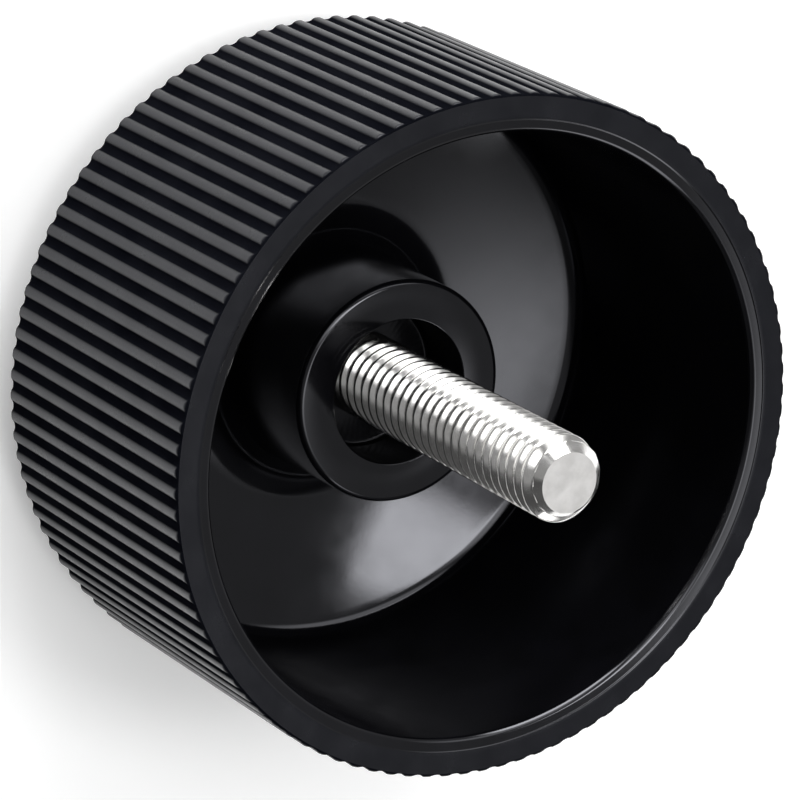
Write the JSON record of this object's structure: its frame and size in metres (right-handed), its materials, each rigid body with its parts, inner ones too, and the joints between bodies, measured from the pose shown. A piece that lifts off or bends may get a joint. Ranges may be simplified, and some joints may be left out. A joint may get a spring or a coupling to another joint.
{
  "type": "threaded hand knob",
  "caption": "Round black hand knob with fine straight ribs round its side, an open hollow underside and a threaded steel stud standing on a central boss; turned by hand to clamp or adjust.",
  "frame": {"origin": "middle of the flat on the closed end, which the knob stands on", "axes": "+Z along the knob's axis, out of the mouth towards the stud's tip; X and Y are alike, with a rib centred on +X"},
  "size_m": [0.048, 0.048, 0.037],
  "materials": {
    "black_plastic": "black moulding, glossy inside the cup, satin on the rim, ribs and boss face",
    "bright_steel": "bright plated thread"
  },
  "bodies": {
    "root": {"knob_body": "black_plastic", "threaded_stud": "bright_steel"}
  },
  "joints": []
}
